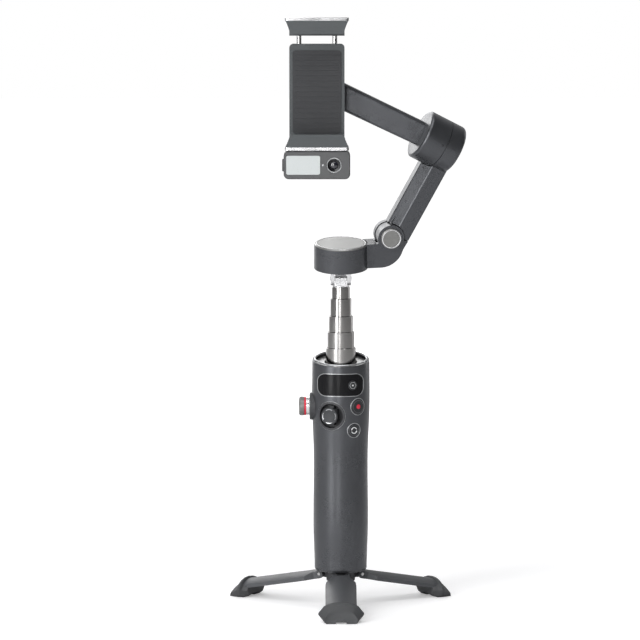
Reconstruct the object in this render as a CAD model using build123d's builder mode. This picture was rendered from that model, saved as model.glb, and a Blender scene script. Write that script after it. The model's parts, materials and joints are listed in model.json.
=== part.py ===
# Folding three-axis phone gimbal on its built-in tripod, with a telescopic rod, a spring
# clamp and a clip-on light and camera module. Millimetres, +Z up, front towards -Y.
# The origin is on the ground, straight below the handle's axis.
import os
from math import cos, radians, sin

from build123d import *

os.makedirs("parts", exist_ok=True)

# ---- driving dimensions -------------------------------------------------------------
FIT = 0.05  # radial running clearance of a pin or shaft
GAP = 0.3  # clearance between faces that pass each other

# Handle: radius against height, then the slanted rim that the head sits on
HANDLE_BASE = 21.8
HANDLE_SIDE = [(16.4, 24.0), (17.0, 45.0), (17.1, 100.0), (18.1, 127.0), (18.0, 146.0), (16.9, 161.0)]
CAVITY_SIDE = [(14.2, 20.0), (14.8, 45.0), (14.9, 105.0), (15.8, 127.0), (15.8, 162.0)]
SEAM_Y = 8.0
LEAN = 10.5  # forward lean of the rim and of the pan axis, degrees
RIM_HEIGHT = 155.6
RIM_THICK = 0.9
PLATE_DROP = 2.6
PLATE_THICK = 1.4

# Tripod
PIN_R, PIN_Z = 12.8, 18.6
LEG_DROP = 10.8  # slope of an open leg, degrees
LEG_AZIMUTHS = {1: -90, 2: 30, 3: 150}
LUG_WIDTH = 4.4
LEG_WIDTH, NECK_WIDTH = 19.3, 11.0
LEG_REACH = 56.5
PIN_RADIUS = 1.2
# Sections of a foot: distance out, then half its bottom edge, wing and shoulder, and its crest
FOOT_RINGS = (
    (61.5, (9.4, 2.4), (10.9, 5.2), (10.3, 8.8), 12.2),
    (66.0, (10.2, 0.0), (14.2, 5.4), (10.2, 9.4), 12.6),
    (70.0, (10.2, 0.0), (14.4, 4.9), (10.0, 9.0), 12.0),
    (76.0, (9.4, 0.0), (11.0, 1.8), (8.0, 5.8), 8.2),
)

# Telescopic rod: outer radius and height of each tube's top, widest tube first
TUBES = {5: (9.35, 162.0), 4: (8.45, 172.0), 3: (7.5, 181.9), 2: (6.6, 192.8), 1: (5.65, 200.0)}
TUBE_LENGTH = 58.0
HINGE_Z = 205.2
SLEEVE_FLOOR = 80.0

# Head: distances along the pan axis from the head hinge
KNUCKLE_WIDTH, KNUCKLE_R = 7.1, 3.6
EAR_OUTER, EAR_THICK, EAR_R = 12.7, 2.5, 4.4
BASE_T, DRUM_T, ROOF_T, CAP_T = 6.6, 7.0, 21.9, 23.0
DRUM_R, DRUM_BORE = 16.75, 15.3

# Arm plane: it stands on the pan axis, turned by ARM_YAW about it
ARM_YAW = 10.5
ARM_HALF = 7.0
FOLD_S, FOLD_T = 30.3, 26.4
BARREL_R, CAP_R = 8.3, 6.4
KNUCKLE_HALF = 3.0

# Tilt motor: its axis falls by TILT_DROP in the arm plane; a runs along it, b across it
TILT_DROP = 29.0
TILT_B = 103.5
TILT_R = 15.65
ROTOR_A, SEAM_A, STATOR_A = -0.6, 13.9, 24.8
ARM_INNER_A, ARM_BEVEL_A = 9.0, 15.0

# Clamp and roll motor: centre of the held phone, 70 x 8 mm in section
PHONE_X, PHONE_Y, PHONE_Z = -14.9, -28.0, 326.5
PHONE_WIDTH, PHONE_THICK = 70.0, 8.2
JAW_WIDTH, LIP_WIDTH = 39.4, 32.8
LIP_FRONT = -37.0
PLATE_BACK = -17.4
ROLL_SEAM = -9.5

# Module under the clamp
MODULE_WIDTH, MODULE_HEIGHT = 40.9, 17.3
MODULE_TOP = 286.7
MODULE_FRONT, MODULE_BACK = -36.2, -20.2

# ---- frames that everything is drawn in ---------------------------------------------
lean_dir = Vector(0, -sin(radians(LEAN)), cos(radians(LEAN)))
rim = Plane(origin=(0, 0, RIM_HEIGHT), x_dir=(1, 0, 0), z_dir=lean_dir)
head = Plane(origin=(0, 0, HINGE_Z), x_dir=(1, 0, 0), z_dir=lean_dir)
across = head.y_dir
yaw = radians(ARM_YAW)
arm_dir = head.x_dir * cos(yaw) + across * sin(yaw)
front_dir = head.x_dir * sin(yaw) - across * cos(yaw)
arm = Plane(origin=(0, 0, HINGE_Z), x_dir=arm_dir, z_dir=front_dir)

drop = radians(TILT_DROP)
tilt_dir = arm_dir * cos(drop) - lean_dir * sin(drop)
limb_dir = arm_dir * sin(drop) + lean_dir * cos(drop)


def arm_st(a, b):
    """Arm-plane point that lies a along the tilt axis and b along the limb."""
    return a * cos(drop) + b * sin(drop), -a * sin(drop) + b * cos(drop)


tilt_s, tilt_t = arm_st(0, TILT_B)
tilt = Plane(origin=arm.from_local_coords((tilt_s, tilt_t, 0)), x_dir=front_dir, z_dir=tilt_dir)
limb = Plane(origin=arm.origin, x_dir=tilt_dir, z_dir=-limb_dir)
fold = Plane(origin=arm.from_local_coords((FOLD_S, FOLD_T, 0)), x_dir=arm_dir, z_dir=front_dir)
roll = Plane(origin=(PHONE_X, 0, PHONE_Z), x_dir=(1, 0, 0), z_dir=(0, -1, 0))


def radial(angle, height):
    """Plane on the handle's axis that looks out of the handle, angle degrees right of front."""
    turn = radians(angle)
    return Plane(origin=(0, 0, height), x_dir=(cos(turn), sin(turn), 0), z_dir=(sin(turn), -cos(turn), 0))


def leg_plane(azimuth):
    out = Vector(cos(radians(azimuth)), sin(radians(azimuth)), 0)
    slope = radians(LEG_DROP)
    along = out * cos(slope) - Vector(0, 0, 1) * sin(slope)
    up = out * sin(slope) + Vector(0, 0, 1) * cos(slope)
    return Plane(origin=out * PIN_R + Vector(0, 0, PIN_Z), x_dir=along, z_dir=up)


def turned(side, inset=0.0):
    """Solid of revolution about the handle's axis, with radii and heights listed in side."""
    with BuildSketch(Plane.XZ) as half:
        with BuildLine():
            edge = Spline([(r - inset, z) for r, z in side], tangents=[(0, 1), (-0.25, 1)])
            Polyline(edge @ 1, (0, side[-1][1]), (0, side[0][1]), edge @ 0)
        make_face()
    return revolve(half.sketch, axis=Axis.Z, mode=Mode.PRIVATE)


# ---- handle -------------------------------------------------------------------------
# Controls on the front, as angle from the front, height and radius
STICK = (-21.2, 120.8, 9.0)
RECORD = (36.5, 126.4, 4.6)
SWITCH = (28.2, 111.6, 3.9)
MODE = (24.1, 139.9, 3.0)
WHEEL_Z, WHEEL_R = 125.1, 5.85
WINDOW = (27.8, 13.2, 4.5)
WINDOW_X, WINDOW_Z = -0.3, 140.1
WINDOW_THICK = 1.25
TRIGGER_Z, TRIGGER_WIDTH, TRIGGER_HEIGHT = 127.5, 12.4, 21.4
TRIGGER_PIN_Z, TRIGGER_PIN_Y = 135.6, 14.6
PORT_Z = 34.0
BUTTON_SEAT = 13.2  # how far from the handle's axis the buttons' flanges lie

stick_plane = radial(STICK[0], STICK[1])
wheel_plane = radial(-90, WHEEL_Z)
back_plane = radial(180, 0)
outer_body = turned(HANDLE_SIDE)
window_bed = turned(HANDLE_SIDE, WINDOW_THICK)

with BuildPart() as handle:
    with BuildSketch(Plane.XZ):
        with BuildLine():
            side = Spline(HANDLE_SIDE, tangents=[(0, 1), (-0.25, 1)])
            foot_arc = RadiusArc((15.0, HANDLE_BASE), side @ 0, -2.2)
            Polyline(side @ 1, (0, 161.0), (0, HANDLE_BASE), foot_arc @ 0)
        make_face()
    revolve(axis=Axis.Z)
    add(turned(CAVITY_SIDE), mode=Mode.SUBTRACT)
    split(bisect_by=rim.offset(-RIM_THICK), keep=Keep.BOTTOM)
    # window pocket
    with BuildSketch(Plane.XZ):
        with Locations((WINDOW_X, WINDOW_Z)):
            RectangleRounded(WINDOW[0] + 0.3, WINDOW[1] + 0.3, WINDOW[2] + 0.15)
    window_hole = extrude(amount=25, mode=Mode.PRIVATE)
    add(window_hole - window_bed, mode=Mode.SUBTRACT)
    # round holes for the joystick, the buttons, and the wheel
    with BuildSketch(stick_plane):
        Circle(STICK[2] - 0.6)
    extrude(amount=25, mode=Mode.SUBTRACT)
    for angle, height, radius in (RECORD, SWITCH, MODE):
        with BuildSketch(radial(angle, height)):
            Circle(radius + 0.1)
        extrude(amount=25, mode=Mode.SUBTRACT)
    with BuildSketch(wheel_plane):
        Circle(5.05)
    extrude(amount=25, mode=Mode.SUBTRACT)
    # trigger opening, its pin's holes, and the charging port
    with BuildSketch(back_plane):
        with Locations((0, TRIGGER_Z)):
            RectangleRounded(TRIGGER_WIDTH + 0.8, TRIGGER_HEIGHT + 0.8, 2.6)
        with Locations((0, PORT_Z)):
            SlotOverall(10.0, 4.4)
    extrude(amount=25, mode=Mode.SUBTRACT)
    with BuildSketch(Plane.YZ):
        with Locations((TRIGGER_PIN_Y, TRIGGER_PIN_Z)):
            Circle(1.0)
    extrude(amount=8.0, both=True, mode=Mode.SUBTRACT)

with BuildPart() as handle_front_shell:
    add(handle.part)
    split(bisect_by=Plane.XZ.offset(-SEAM_Y), keep=Keep.TOP)
handle_front_shell.part.label = "handle_front_shell"
export_step(handle_front_shell.part, "parts/handle_front_shell.step")

with BuildPart() as handle_rear_shell:
    add(handle.part)
    split(bisect_by=Plane.XZ.offset(-SEAM_Y - 0.05), keep=Keep.BOTTOM)
handle_rear_shell.part.label = "handle_rear_shell"
export_step(handle_rear_shell.part, "parts/handle_rear_shell.step")

with BuildPart() as base_cap:
    with BuildSketch(Plane.XY.offset(HANDLE_BASE + 0.4)):
        Circle(14.1)
    extrude(amount=3.4)
    chamfer(base_cap.edges().group_by(Axis.Z)[0], 0.4)
base_cap.part.label = "base_cap"
export_step(base_cap.part, "parts/base_cap.step")

with BuildPart() as collar_ring:
    with BuildSketch(rim.offset(-RIM_THICK)):
        Circle(16.75)
        Circle(15.6, mode=Mode.SUBTRACT)
    extrude(amount=RIM_THICK)
    chamfer(collar_ring.edges().group_by(Axis(rim.origin, rim.z_dir))[-1], 0.35)
collar_ring.part.label = "collar_ring"
export_step(collar_ring.part, "parts/collar_ring.step")

with BuildPart() as collar_plate:
    with BuildSketch(rim.offset(-PLATE_DROP - PLATE_THICK)):
        Circle(15.5)
    extrude(amount=PLATE_THICK)
    with BuildSketch(Plane.XY.offset(130)):
        Circle(TUBES[5][0] + 0.9)
    extrude(amount=40, mode=Mode.SUBTRACT)
collar_plate.part.label = "collar_plate"
export_step(collar_plate.part, "parts/collar_plate.step")

with BuildPart() as rod_sleeve:
    with BuildSketch(Plane.XY.offset(SLEEVE_FLOOR)):
        Circle(10.6)
    extrude(amount=80)
    with BuildSketch(Plane.XY.offset(SLEEVE_FLOOR + 2)):
        Circle(TUBES[5][0] + 0.06)
    extrude(amount=80, mode=Mode.SUBTRACT)
    split(bisect_by=rim.offset(-PLATE_DROP - PLATE_THICK), keep=Keep.BOTTOM)
rod_sleeve.part.label = "rod_sleeve"
export_step(rod_sleeve.part, "parts/rod_sleeve.step")

with BuildPart() as battery_cell:
    with BuildSketch(Plane.XY.offset(27)):
        Circle(9.15)
    extrude(amount=50)
    with BuildSketch(Plane.XY.offset(77)):
        Circle(3.2)
    extrude(amount=1.2)
battery_cell.part.label = "battery_cell"
export_step(battery_cell.part, "parts/battery_cell.step")

with BuildPart() as screen_window:
    with BuildSketch(Plane.XZ):
        with Locations((WINDOW_X, WINDOW_Z)):
            RectangleRounded(*WINDOW)
    extrude(amount=25)
    add(outer_body, mode=Mode.INTERSECT)
    add(window_bed, mode=Mode.SUBTRACT)
    with BuildSketch(radial(MODE[0], MODE[1])):
        Circle(MODE[2] + 0.1)
    extrude(amount=25, mode=Mode.SUBTRACT)
screen_window.part.label = "screen_window"
export_step(screen_window.part, "parts/screen_window.step")

# ---- joystick -----------------------------------------------------------------------
CUP_R, CUP_BORE = 8.35, 7.7
CUP_FLOOR, CUP_BED = 11.2, 12.0
STICK_PIVOT = 14.2

with BuildPart() as joystick_lip:
    with BuildSketch(stick_plane.offset(CUP_BED)):
        Circle(STICK[2])
    extrude(amount=10)
    add(turned(HANDLE_SIDE, -0.35), mode=Mode.INTERSECT)
    add(outer_body, mode=Mode.SUBTRACT)

with BuildPart() as joystick_housing:
    with BuildSketch(stick_plane.offset(CUP_FLOOR)):
        Circle(CUP_R)
    extrude(amount=10)
    add(turned(HANDLE_SIDE, -0.35), mode=Mode.INTERSECT)
    add(joystick_lip.part)
    with BuildSketch(stick_plane.offset(CUP_BED)):
        Circle(CUP_BORE)
    extrude(amount=10, mode=Mode.SUBTRACT)
    with BuildSketch(stick_plane.offset(CUP_BED)):
        with Locations((0, 5.3), (0, -5.3)):
            Rectangle(2.6, 1.4)
    extrude(amount=3.4)
    with BuildSketch(Plane(stick_plane.offset(STICK_PIVOT).origin, stick_plane.x_dir, -stick_plane.y_dir)):
        Circle(0.7 + FIT)
    extrude(amount=6.2, both=True, mode=Mode.SUBTRACT)
joystick_housing.part.label = "joystick_housing"
export_step(joystick_housing.part, "parts/joystick_housing.step")

stick_centre = stick_plane.offset(STICK_PIVOT)
stick_upright = Plane(stick_centre.origin, x_dir=stick_centre.x_dir, z_dir=stick_centre.y_dir)
stick_level = Plane(stick_centre.origin, x_dir=stick_centre.y_dir, z_dir=stick_centre.x_dir)

with BuildPart() as joystick_cradle:
    with BuildSketch(stick_centre.offset(-1.1)):
        Rectangle(7.0, 8.2)
        Rectangle(4.8, 6.0, mode=Mode.SUBTRACT)
    extrude(amount=2.2)
    for side_sign in (1, -1):
        with BuildSketch(stick_upright.offset(side_sign * 4.1)):
            Circle(0.7)
        extrude(amount=side_sign * 1.7)
    with BuildSketch(stick_level):
        Circle(0.6 + FIT)
    extrude(amount=4, both=True, mode=Mode.SUBTRACT)
joystick_cradle.part.label = "joystick_cradle"
export_step(joystick_cradle.part, "parts/joystick_cradle.step")

# the cap's half section lies at 45 degrees, so that its seam stays clear of the cross pin
slant = (stick_centre.x_dir + stick_centre.y_dir).normalized()
stick_section = Plane(stick_centre.origin, x_dir=slant, z_dir=slant.cross(stick_centre.z_dir))

with BuildPart() as joystick_cap:
    with BuildSketch(stick_section):
        with BuildLine():
            Polyline((0, -1.6), (1.5, -1.6), (1.5, 3.6), (4.9, 4.3), (5.3, 5.0))
            ThreePointArc((5.3, 5.0), (5.1, 5.9), (4.4, 6.2))
            Polyline((4.4, 6.2), (3.4, 5.7), (0, 5.7), (0, -1.6))
        make_face()
    revolve(axis=Axis(stick_centre.origin, stick_centre.z_dir))
    with BuildSketch(stick_level.offset(-3.4)):
        Circle(0.6)
    extrude(amount=6.8)
joystick_cap.part.label = "joystick_cap"
export_step(joystick_cap.part, "parts/joystick_cap.step")

# ---- push buttons: a flat cap on a flange that cannot pass through the shell --------
BUTTON_TOPS = {
    "mode_button": (MODE, 18.2),
    "record_button": (RECORD, 18.35),
    "switch_button": (SWITCH, 17.45),
}
FLANGE = 0.8

for label, ((angle, height, radius), top) in BUTTON_TOPS.items():
    with BuildPart() as button:
        with BuildSketch(radial(angle, height).offset(BUTTON_SEAT)):
            Circle(radius + 0.6)
        extrude(amount=FLANGE)
        with BuildSketch(radial(angle, height).offset(BUTTON_SEAT + FLANGE)):
            Circle(radius)
        extrude(amount=top - BUTTON_SEAT - FLANGE)
        outward = Axis((0, 0, 0), radial(angle, 0).z_dir)
        fillet(button.edges().filter_by(GeomType.CIRCLE).sort_by(outward)[-1], 0.35)
    button.part.label = label
    export_step(button.part, f"parts/{label}.step")

# ---- side wheel: it turns on a stem that also pushes in -----------------------------
BEZEL_TOP, DISH_FLOOR, KNOB_START, KNOB_END = 19.6, 18.5, 19.2, 26.2

with BuildPart() as wheel_bezel:
    with BuildSketch(wheel_plane.offset(12)):
        Circle(8.6)
    extrude(amount=BEZEL_TOP - 12)
    fillet(wheel_bezel.edges().sort_by(Axis.X)[0], 0.9)
    add(outer_body, mode=Mode.SUBTRACT)
    with BuildSketch(wheel_plane.offset(14.6)):
        Circle(5.0)
    extrude(amount=BEZEL_TOP - 15)
    # dish that the knob sinks into when it is pressed
    with BuildSketch(wheel_plane.offset(DISH_FLOOR)):
        Circle(WHEEL_R + 0.3)
    extrude(amount=2, mode=Mode.SUBTRACT)
    with BuildSketch(wheel_plane.offset(12)):
        Circle(2.0 + FIT)
    extrude(amount=10, mode=Mode.SUBTRACT)
wheel_bezel.part.label = "wheel_bezel"
export_step(wheel_bezel.part, "parts/wheel_bezel.step")

with BuildPart() as wheel_stem:
    with BuildSketch(wheel_plane.offset(12.8)):
        Circle(3.4)
    extrude(amount=1.4)
    with BuildSketch(wheel_plane.offset(12.8)):
        Circle(2.0)
    extrude(amount=11.0)
wheel_stem.part.label = "wheel_stem"
export_step(wheel_stem.part, "parts/wheel_stem.step")

with BuildPart() as wheel_knob:
    with BuildSketch(wheel_plane.offset(KNOB_START)):
        Circle(WHEEL_R)
    extrude(amount=KNOB_END - KNOB_START)
    chamfer(wheel_knob.edges().group_by(Axis.X)[0], 0.5)
    with BuildSketch(wheel_plane.offset(KNOB_START)):
        Circle(2.0 + FIT)
    extrude(amount=5.0, mode=Mode.SUBTRACT)
wheel_knob.part.label = "wheel_knob"
export_step(wheel_knob.part, "parts/wheel_knob.step")

# ---- trigger and port on the back ---------------------------------------------------
with BuildPart() as trigger:
    with BuildSketch(back_plane.offset(13.0)):
        with Locations((0, TRIGGER_Z)):
            RectangleRounded(TRIGGER_WIDTH, TRIGGER_HEIGHT, 2.2)
    extrude(amount=6.5)
    add(turned(HANDLE_SIDE, -0.7), mode=Mode.INTERSECT)
    with BuildSketch(Plane.YZ):
        with Locations((TRIGGER_PIN_Y, TRIGGER_PIN_Z)):
            Circle(1.0 + FIT)
    extrude(amount=10, both=True, mode=Mode.SUBTRACT)
trigger.part.label = "trigger"
export_step(trigger.part, "parts/trigger.step")

with BuildPart() as trigger_pin:
    with BuildSketch(Plane.YZ):
        with Locations((TRIGGER_PIN_Y, TRIGGER_PIN_Z)):
            Circle(1.0)
    extrude(amount=8.0, both=True)
trigger_pin.part.label = "trigger_pin"
export_step(trigger_pin.part, "parts/trigger_pin.step")

with BuildPart() as usb_port:
    with BuildSketch(back_plane.offset(9.6)):
        with Locations((0, PORT_Z)):
            SlotOverall(9.0, 3.3)
    extrude(amount=6.4)
    with BuildSketch(back_plane.offset(10.2)):
        with Locations((0, PORT_Z)):
            SlotOverall(8.4, 2.7)
            Rectangle(6.6, 0.7, mode=Mode.SUBTRACT)
    extrude(amount=6.4, mode=Mode.SUBTRACT)
usb_port.part.label = "usb_port"
export_step(usb_port.part, "parts/usb_port.step")

# ---- tripod -------------------------------------------------------------------------
with BuildPart() as tripod_hub:
    with BuildSketch(Plane.XY.offset(14.8)):
        Circle(9.0)
    extrude(amount=HANDLE_BASE + 0.4 - 14.8)
    chamfer(tripod_hub.edges().group_by(Axis.Z)[0], 0.6)
    for azimuth in LEG_AZIMUTHS.values():
        outward = (cos(radians(azimuth)), sin(radians(azimuth)), 0)
        with BuildSketch(Plane(origin=(0, 0, 16.4), x_dir=outward, z_dir=(0, 0, 1))):
            with Locations((PIN_R - 2.4, 0)):
                Rectangle(4.8, LUG_WIDTH)
        extrude(amount=4.4)
        frame = leg_plane(azimuth)
        with BuildSketch(Plane(frame.origin, x_dir=frame.x_dir, z_dir=frame.y_dir)):
            Circle(2.2)
        extrude(amount=LUG_WIDTH / 2, both=True)
        with BuildSketch(Plane(frame.origin, x_dir=frame.x_dir, z_dir=frame.y_dir)):
            Circle(PIN_RADIUS)
        extrude(amount=LUG_WIDTH / 2 + 1, both=True, mode=Mode.SUBTRACT)
    with BuildSketch(Plane.XY.offset(14.8)):
        Circle(3.175)
    extrude(amount=6.0, mode=Mode.SUBTRACT)
tripod_hub.part.label = "tripod_hub"
export_step(tripod_hub.part, "parts/tripod_hub.step")

for number, azimuth in LEG_AZIMUTHS.items():
    frame = leg_plane(azimuth)
    pin_plane = Plane(frame.origin, x_dir=frame.x_dir, z_dir=frame.y_dir)
    with BuildPart() as leg_pin:
        with BuildSketch(pin_plane):
            Circle(PIN_RADIUS)
        extrude(amount=NECK_WIDTH / 2 + 0.1, both=True)
        chamfer(leg_pin.edges().filter_by(GeomType.CIRCLE), 0.25)
    leg_pin.part.label = f"leg_pin_{number}"
    export_step(leg_pin.part, f"parts/leg_pin_{number}.step")

    with BuildPart() as leg:
        with BuildSketch(frame):
            with BuildLine():
                half_neck, half_leg = NECK_WIDTH / 2, LEG_WIDTH / 2
                Polyline((0, 0), (0, half_neck), (4.0, half_neck))
                shoulder = ThreePointArc((4.0, half_neck), (7.2, half_leg - 1.6), (8.8, half_leg - 0.3))
                Polyline(shoulder @ 1, (14.0, half_leg), (LEG_REACH, half_leg), (LEG_REACH, 0), (0, 0))
            make_face()
            mirror(about=Plane.XZ)
        extrude(amount=4, both=True)
        # crowned top, flat underside: the closed legs carry on the handle's round
        with BuildSketch(Plane(frame.origin - frame.x_dir * 5, x_dir=frame.y_dir, z_dir=frame.x_dir)):
            with BuildLine():
                crown = ThreePointArc((-half_leg - 0.5, -0.8), (0, 2.8), (half_leg + 0.5, -0.8))
                Polyline(crown @ 1, (half_leg + 0.5, -2.8), (-half_leg - 0.5, -2.8), crown @ 0)
            make_face()
        extrude(amount=LEG_REACH + 10, mode=Mode.INTERSECT)
        with BuildSketch(pin_plane):
            Circle(2.5)
        extrude(amount=NECK_WIDTH / 2, both=True)
        with BuildSketch(frame):
            with Locations((0.3, 0)):
                Rectangle(6.2, LUG_WIDTH + 0.3)
        extrude(amount=4, both=True, mode=Mode.SUBTRACT)
        with BuildSketch(pin_plane):
            Circle(PIN_RADIUS + FIT)
        extrude(amount=NECK_WIDTH, both=True, mode=Mode.SUBTRACT)
    leg.part.label = f"leg_{number}"
    export_step(leg.part, f"parts/leg_{number}.step")

    out = Vector(cos(radians(azimuth)), sin(radians(azimuth)), 0)
    side_dir = Vector(-sin(radians(azimuth)), cos(radians(azimuth)), 0)
    with BuildPart() as foot:
        for reach, bottom, wing, shoulder, crest in FOOT_RINGS:
            with BuildSketch(Plane(origin=out * reach, x_dir=side_dir, z_dir=out)):
                with BuildLine():
                    flank = Polyline((-bottom[0], bottom[1]), bottom, wing, shoulder)
                    ThreePointArc(shoulder, (0, crest), (-shoulder[0], shoulder[1]))
                    Polyline((-shoulder[0], shoulder[1]), (-wing[0], wing[1]), flank @ 0)
                make_face()
        loft(ruled=True)
        with BuildSketch(Plane(origin=out * 60, x_dir=side_dir, z_dir=out)):
            Rectangle(6.6, 2.0)
        extrude(amount=20, mode=Mode.SUBTRACT)
        add(leg.part, mode=Mode.SUBTRACT)
    foot.part.label = f"foot_{number}"
    export_step(foot.part, f"parts/foot_{number}.step")

# ---- telescopic rod -----------------------------------------------------------------
for number, (radius, top) in TUBES.items():
    bore = TUBES[number - 1][0] + 0.06 if number > 1 else 4.6
    with BuildPart() as rod_tube:
        with BuildSketch(Plane.XY.offset(top - TUBE_LENGTH)):
            Circle(radius)
            Circle(bore, mode=Mode.SUBTRACT)
        extrude(amount=TUBE_LENGTH)
        chamfer(rod_tube.edges().group_by(Axis.Z)[-1].sort_by(SortBy.RADIUS)[-1], 0.25)
        # the lip ring is marked off by a fine groove
        with BuildSketch(Plane.XY.offset(top - 2.0)):
            Circle(radius + 1)
            Circle(radius - 0.12, mode=Mode.SUBTRACT)
        extrude(amount=0.2, mode=Mode.SUBTRACT)
    rod_tube.part.label = f"rod_tube_{number}"
    export_step(rod_tube.part, f"parts/rod_tube_{number}.step")

hinge_plane = Plane(origin=(0, 0, HINGE_Z), x_dir=(0, 1, 0), z_dir=(1, 0, 0))
tube_top = TUBES[1][1]

with BuildPart() as rod_head:
    with BuildSketch(Plane.XY.offset(tube_top - 12)):
        Circle(4.6)
    extrude(amount=12)
    with BuildSketch(Plane.XY.offset(tube_top)):
        Circle(5.2)
    extrude(amount=0.5)
    with BuildSketch(Plane.XY.offset(tube_top)):
        Rectangle(KNUCKLE_WIDTH, 2 * KNUCKLE_R - 0.6)
    extrude(amount=HINGE_Z - tube_top)
    with BuildSketch(hinge_plane):
        Circle(KNUCKLE_R)
    extrude(amount=KNUCKLE_WIDTH / 2, both=True)
    with BuildSketch(hinge_plane):
        Circle(1.5 + FIT)
    extrude(amount=KNUCKLE_WIDTH, both=True, mode=Mode.SUBTRACT)
rod_head.part.label = "rod_head"
export_step(rod_head.part, "parts/rod_head.step")

with BuildPart() as head_pin:
    with BuildSketch(hinge_plane):
        Circle(1.5)
    extrude(amount=EAR_OUTER / 2 + 0.3, both=True)
    chamfer(head_pin.edges().filter_by(GeomType.CIRCLE), 0.25)
head_pin.part.label = "head_pin"
export_step(head_pin.part, "parts/head_pin.step")

# ---- pan motor ----------------------------------------------------------------------
with BuildPart() as clevis:
    for side_sign in (1, -1):
        ear_inner = side_sign * (EAR_OUTER / 2 - EAR_THICK)
        ear_plane = Plane(origin=(ear_inner, 0, HINGE_Z), x_dir=across, z_dir=(1, 0, 0))
        with BuildSketch(ear_plane):
            Circle(EAR_R)
            with Locations((0, BASE_T / 2)):
                Rectangle(2 * EAR_R, BASE_T)
        extrude(amount=side_sign * EAR_THICK)
    with BuildSketch(head.offset(BASE_T - 1.4)):
        Rectangle(EAR_OUTER, 2 * EAR_R)
    extrude(amount=1.4)
    with BuildSketch(hinge_plane):
        Circle(1.5)
    extrude(amount=EAR_OUTER, both=True, mode=Mode.SUBTRACT)
clevis.part.label = "clevis"
export_step(clevis.part, "parts/clevis.step")

with BuildPart() as pan_base:
    for start, radius, end in ((BASE_T, 15.0, 9.0), (9.0, 11.0, 16.0), (16.0, 4.0, 19.5)):
        with BuildSketch(head.offset(start)):
            Circle(radius)
        extrude(amount=end - start)
pan_base.part.label = "pan_base"
export_step(pan_base.part, "parts/pan_base.step")

shoulder_s, shoulder_t = arm_st(24.6, 40.6)

with BuildPart() as pan_drum:
    with BuildSketch(head.offset(DRUM_T)):
        Circle(DRUM_R)
    extrude(amount=ROOF_T - DRUM_T)
    with BuildSketch(arm):
        with BuildLine():
            heel = ThreePointArc((24.5, 7.6), (32.4, 10.2), (38.0, 18.3))
            Polyline(heel @ 1, (shoulder_s, shoulder_t), (FOLD_S, FOLD_T), (21.5, 22.9), (14.0, 22.9))
            Polyline((14.0, 22.9), (14.0, 7.6), heel @ 0)
        make_face()
    extrude(amount=ARM_HALF, both=True)
    with BuildSketch(fold.offset(-7.5)):
        Circle(BARREL_R)
    extrude(amount=15.5)
    # the part of the arm that runs over the drum stops short of the cap's rim
    with BuildSketch(head.offset(ROOF_T)):
        Circle(DRUM_R - 0.2)
    extrude(amount=2, mode=Mode.SUBTRACT)
    with BuildSketch(head.offset(DRUM_T - 1)):
        Circle(DRUM_BORE)
    extrude(amount=ROOF_T - 2.0 - DRUM_T + 1, mode=Mode.SUBTRACT)
    with BuildSketch(head.offset(16.6)):
        Circle(6.5)
    extrude(amount=ROOF_T - 1.0 - 16.6)
    with BuildSketch(head.offset(16.6)):
        Circle(4.0 + FIT)
    extrude(amount=3.4, mode=Mode.SUBTRACT)
    # slot and bore for the fold hinge
    with BuildSketch(fold.offset(-KNUCKLE_HALF - GAP)):
        Circle(BARREL_R + 1.0)
        with Locations((4, 8)):
            Rectangle(20, 16)
    extrude(amount=2 * (KNUCKLE_HALF + GAP), mode=Mode.SUBTRACT)
    with BuildSketch(fold.offset(-9)):
        Circle(2.0)
    extrude(amount=20, mode=Mode.SUBTRACT)
pan_drum.part.label = "pan_drum"
export_step(pan_drum.part, "parts/pan_drum.step")

with BuildPart() as pan_cap:
    with BuildSketch(head.offset(ROOF_T)):
        Circle(DRUM_R - 0.3)
    extrude(amount=CAP_T - ROOF_T)
    chamfer(pan_cap.edges().group_by(Axis(head.origin, head.z_dir))[-1], 0.7)
    with BuildSketch(head.offset(CAP_T - 0.15)):
        Circle(14.8)
        Circle(14.5, mode=Mode.SUBTRACT)
    extrude(amount=1, mode=Mode.SUBTRACT)
pan_cap.part.label = "pan_cap"
export_step(pan_cap.part, "parts/pan_cap.step")

# ---- fold hinge and upper arm -------------------------------------------------------
with BuildPart() as fold_pin:
    with BuildSketch(fold.offset(-7.4)):
        Circle(2.0)
    extrude(amount=15.2)
fold_pin.part.label = "fold_pin"
export_step(fold_pin.part, "parts/fold_pin.step")

with BuildPart() as fold_cap:
    with BuildSketch(fold.offset(8.0)):
        Circle(CAP_R)
    extrude(amount=1.3)
    chamfer(fold_cap.edges().group_by(Axis(fold.origin, fold.z_dir))[-1], 0.6)
fold_cap.part.label = "fold_cap"
export_step(fold_cap.part, "parts/fold_cap.step")

with BuildPart() as stator:
    with BuildSketch(tilt.offset(SEAM_A + GAP)):
        Circle(TILT_R)
    extrude(amount=STATOR_A - SEAM_A - GAP)
    fillet(stator.edges().sort_by(Axis(tilt.origin, tilt.z_dir))[-1], 2.8)

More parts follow.
